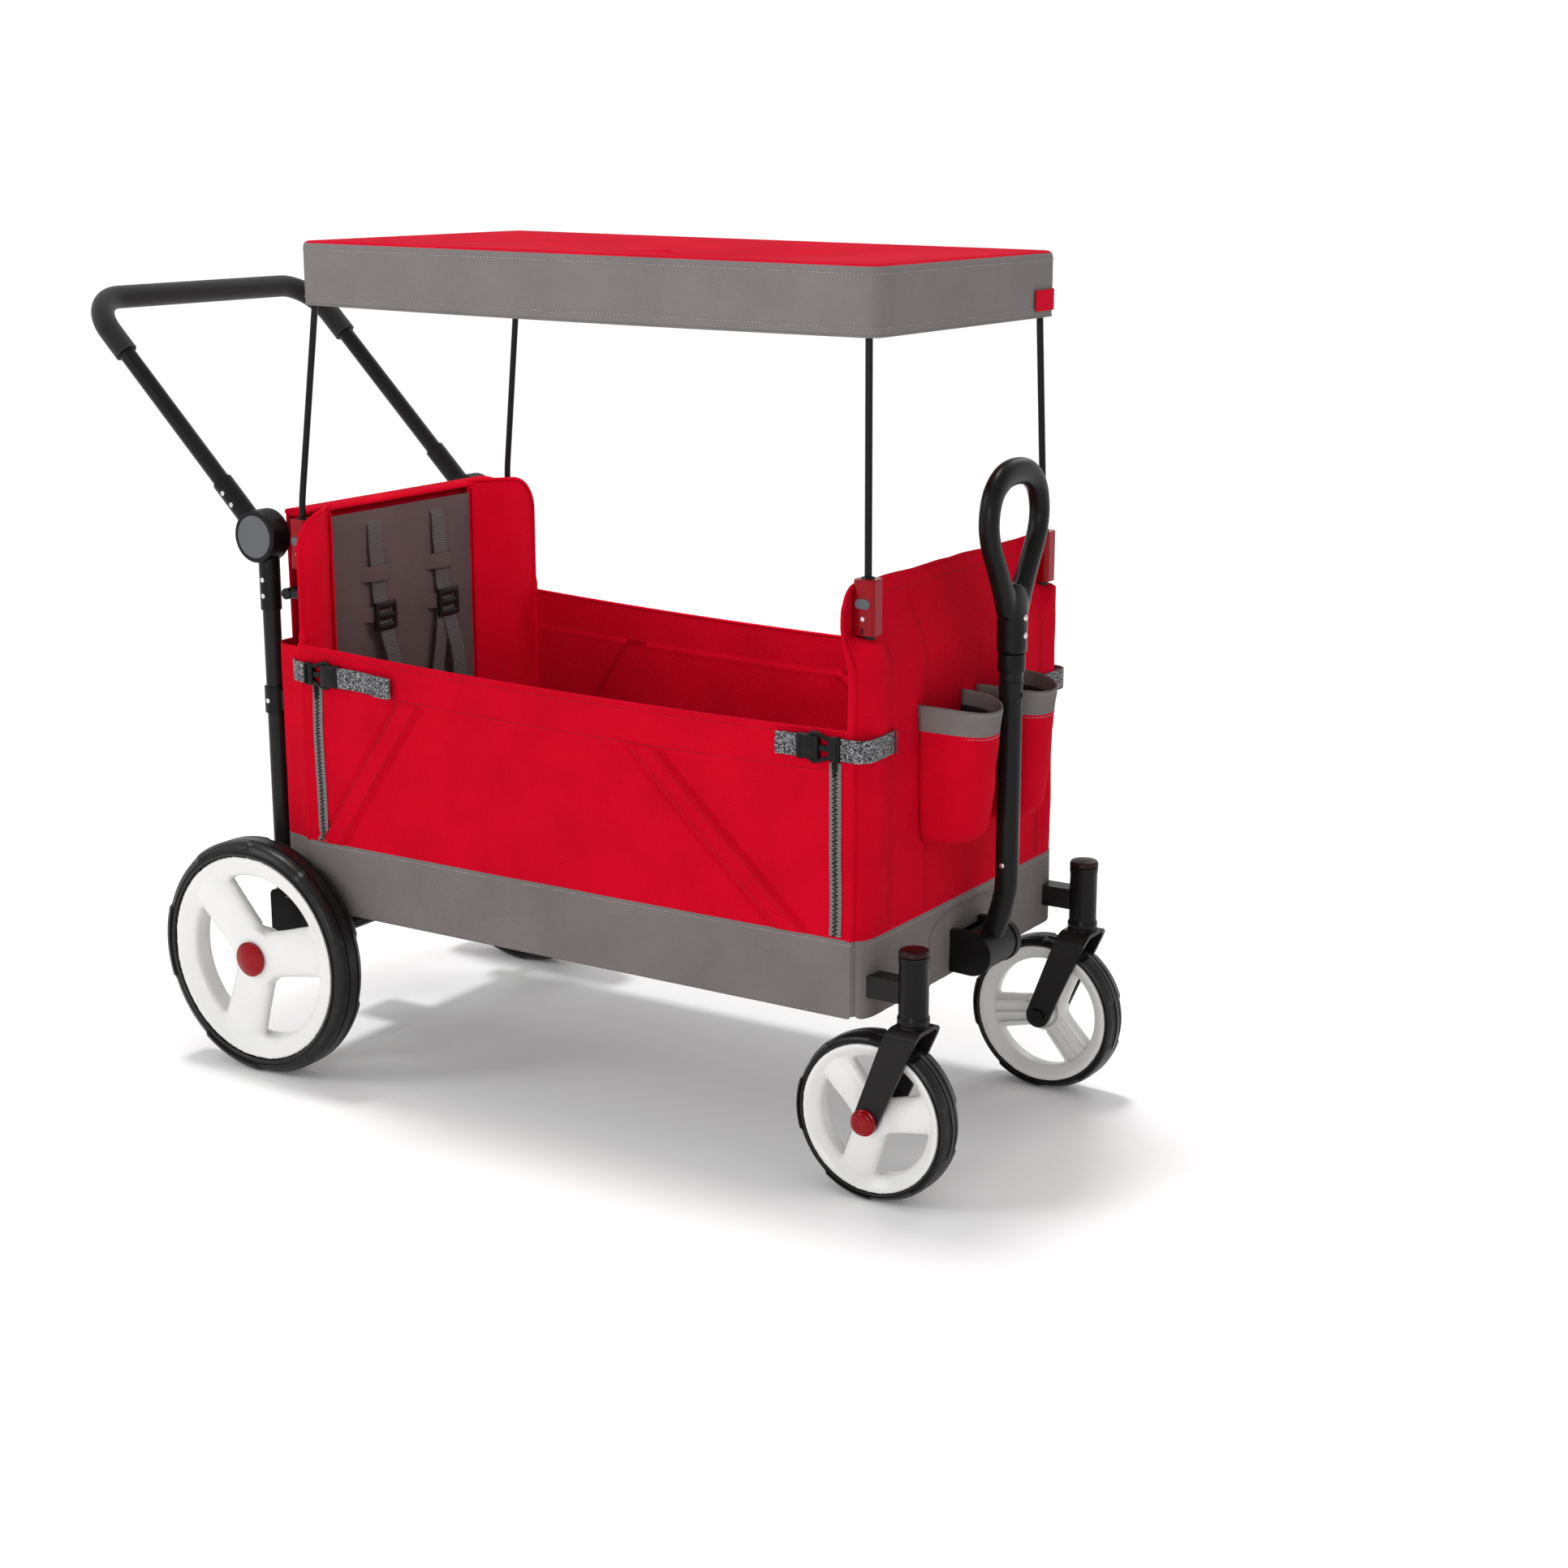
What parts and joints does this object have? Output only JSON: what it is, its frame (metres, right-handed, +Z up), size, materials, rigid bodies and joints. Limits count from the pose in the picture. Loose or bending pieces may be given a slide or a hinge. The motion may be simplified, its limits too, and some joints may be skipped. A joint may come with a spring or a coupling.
{
  "type": "kids pull wagon",
  "caption": "Folding fabric-sided wagon for children with a sun canopy, swivelling front castors, a push handle at the rear and a telescoping pull handle at the front.",
  "frame": {"origin": "on the ground under the middle of the overall box", "axes": "+X forward towards the pull handle, +Y to the wagon's left, +Z up"},
  "size_m": [1.2809, 0.5982, 1.02],
  "materials": {
    "tyre_rubber": "satin",
    "white_plastic": "gloss",
    "red_cap_plastic": "gloss",
    "black_metal": "satin powder coat",
    "black_plastic": "satin",
    "steel": "zinc plated",
    "gray_plastic": "satin",
    "red_gloss_plastic": "gloss",
    "foam": "matte foam",
    "red_fabric": "woven polyester",
    "gray_fabric": "woven polyester",
    "webbing": "woven webbing",
    "floor_board": "fabric-faced board"
  },
  "bodies": {
    "rear_frame": {"rear_axle": "black_metal", "axle_brackets": "black_plastic", "rear_posts": "black_metal", "post_clamps": "black_plastic", "pivot_sockets_lower": "black_plastic", "rear_end_frame": "black_metal", "rear_pins_and_screws": "steel", "rear_panel": "red_fabric", "backrest_panel": "gray_fabric", "harness_straps": "webbing", "canopy_sockets_rear": "red_gloss_plastic", "side_wall_left": "red_fabric", "side_wall_right": "red_fabric", "buckles_rear": "black_plastic"},
    "rear_wheel_left": {"rear_tyre_left": "tyre_rubber", "rear_rim_left": "white_plastic", "rear_hub_cap_left": "red_cap_plastic"},
    "rear_wheel_right": {"rear_tyre_right": "tyre_rubber", "rear_rim_right": "white_plastic", "rear_hub_cap_right": "red_cap_plastic"},
    "brake": {"brake_pedal": "black_plastic"},
    "push_handle": {"pivot_sockets_upper": "black_plastic", "handle_tube": "black_metal", "handle_foam": "foam", "handle_screws": "steel"},
    "pivot_button_left": {"pivot_button_left": "gray_plastic"},
    "pivot_button_right": {"pivot_button_right": "gray_plastic"},
    "floor_rear": {"floor_frame_rear": "black_metal", "floor_board_rear": "floor_board", "knee_hinge_rod": "steel"},
    "floor_front": {"floor_frame_front": "black_metal", "floor_board_front": "floor_board"},
    "front_frame": {"front_end_frame": "black_metal", "front_hinge_pins": "steel", "front_panel": "red_fabric", "pocket_left": "red_fabric", "pocket_right": "red_fabric", "castor_housings": "black_plastic", "canopy_sockets_front": "red_gloss_plastic", "pull_yoke": "black_plastic", "buckles_front": "black_plastic"},
    "castor_left": {"castor_fork_left": "black_metal", "castor_axle_left": "red_cap_plastic"},
    "castor_right": {"castor_fork_right": "black_metal", "castor_axle_right": "red_cap_plastic"},
    "front_wheel_left": {"front_tyre_left": "tyre_rubber", "front_rim_left": "white_plastic"},
    "front_wheel_right": {"front_tyre_right": "tyre_rubber", "front_rim_right": "white_plastic"},
    "pull_handle": {"pull_knuckle": "black_plastic", "pull_tube_outer": "black_metal"},
    "pull_grip": {"pull_tube_inner": "black_metal", "pull_grip": "black_plastic"},
    "canopy_rear": {"canopy_bow_rear": "black_metal", "canopy_top": "red_fabric"},
    "canopy_front": {"canopy_bow_front": "black_metal"},
    "button_rear_left": {"socket_button_rear_left": "gray_plastic"},
    "button_rear_right": {"socket_button_rear_right": "gray_plastic"},
    "button_front_left": {"socket_button_front_left": "gray_plastic"},
    "button_front_right": {"socket_button_front_right": "gray_plastic"}
  },
  "joints": [
    {"name": "rear_wheel_left_spin", "type": "hinge", "parent": "rear_frame", "child": "rear_wheel_left", "pos_m": [-0.3145, 0.2685, 0.15], "axis": [0, 1, 0], "continuous": true},
    {"name": "rear_wheel_right_spin", "type": "hinge", "parent": "rear_frame", "child": "rear_wheel_right", "pos_m": [-0.3145, -0.2685, 0.15], "axis": [0, 1, 0], "continuous": true},
    {"name": "push_handle_fold", "type": "hinge", "parent": "rear_frame", "child": "push_handle", "pos_m": [-0.3435, 0, 0.669], "axis": [0, -1, 0], "range_deg": [0, 100]},
    {"name": "pivot_button_left_press", "type": "slide", "parent": "push_handle", "child": "pivot_button_left", "axis": [0, -1, 0], "range_m": [0, 0.003], "stiffness_N_per_m": 400},
    {"name": "pivot_button_right_press", "type": "slide", "parent": "push_handle", "child": "pivot_button_right", "axis": [0, 1, 0], "range_m": [0, 0.003], "stiffness_N_per_m": 400},
    {"name": "brake_press", "type": "hinge", "parent": "rear_frame", "child": "brake", "pos_m": [-0.3145, 0, 0.15], "axis": [0, -1, 0], "range_deg": [0, 25]},
    {"name": "fold", "type": "hinge", "parent": "rear_frame", "child": "floor_rear", "pos_m": [-0.2395, 0, 0.23], "axis": [0, -1, 0], "range_deg": [0, 78], "deforming": ["side_wall_left", "side_wall_right", "canopy_top"]},
    {"name": "floor_knee", "type": "hinge", "parent": "floor_rear", "child": "floor_front", "pos_m": [0.128, 0, 0.23], "axis": [0, -1, 0], "range_deg": [-156.5, 0]},
    {"name": "front_end_hinge", "type": "hinge", "parent": "floor_front", "child": "front_frame", "pos_m": [0.4955, 0, 0.23], "axis": [0, -1, 0], "range_deg": [0, 78.25]},
    {"name": "castor_left_swivel", "type": "hinge", "parent": "front_frame", "child": "castor_left", "pos_m": [0.5879, 0.208, 0], "axis": [0, 0, 1], "continuous": true},
    {"name": "front_wheel_left_spin", "type": "hinge", "parent": "castor_left", "child": "front_wheel_left", "pos_m": [0.5435, 0.208, 0.097], "axis": [0, 1, 0], "continuous": true},
    {"name": "castor_right_swivel", "type": "hinge", "parent": "front_frame", "child": "castor_right", "pos_m": [0.5879, -0.208, 0], "axis": [0, 0, 1], "continuous": true},
    {"name": "front_wheel_right_spin", "type": "hinge", "parent": "castor_right", "child": "front_wheel_right", "pos_m": [0.5435, -0.208, 0.097], "axis": [0, 1, 0], "continuous": true},
    {"name": "pull_handle_pivot", "type": "hinge", "parent": "front_frame", "child": "pull_handle", "pos_m": [0.5655, 0, 0.24], "axis": [0, 1, 0], "range_deg": [0, 100]},
    {"name": "pull_handle_extend", "type": "slide", "parent": "pull_handle", "child": "pull_grip", "axis": [0, 0, 1], "range_m": [0, 0.2]},
    {"name": "canopy_rear_lift", "type": "slide", "parent": "rear_frame", "child": "canopy_rear", "axis": [0, 0, 1], "range_m": [0, 0.06]},
    {"name": "canopy_front_lift", "type": "slide", "parent": "front_frame", "child": "canopy_front", "axis": [0, 0, 1], "range_m": [0, 0.0605]},
    {"name": "button_rear_left_press", "type": "slide", "parent": "rear_frame", "child": "button_rear_left", "axis": [0, -1, 0], "range_m": [0, 0.002], "stiffness_N_per_m": 400},
    {"name": "button_rear_right_press", "type": "slide", "parent": "rear_frame", "child": "button_rear_right", "axis": [0, 1, 0], "range_m": [0, 0.002], "stiffness_N_per_m": 400},
    {"name": "button_front_left_press", "type": "slide", "parent": "front_frame", "child": "button_front_left", "axis": [0, -1, 0], "range_m": [0, 0.002], "stiffness_N_per_m": 400},
    {"name": "button_front_right_press", "type": "slide", "parent": "front_frame", "child": "button_front_right", "axis": [0, 1, 0], "range_m": [0, 0.002], "stiffness_N_per_m": 400}
  ],
  "couplings": [
    {"joint": "floor_knee", "follows": "fold", "ratio": -2},
    {"joint": "front_end_hinge", "follows": "fold", "ratio": 1},
    {"joint": "canopy_front_lift", "follows": "canopy_rear_lift", "ratio": 1}
  ]
}
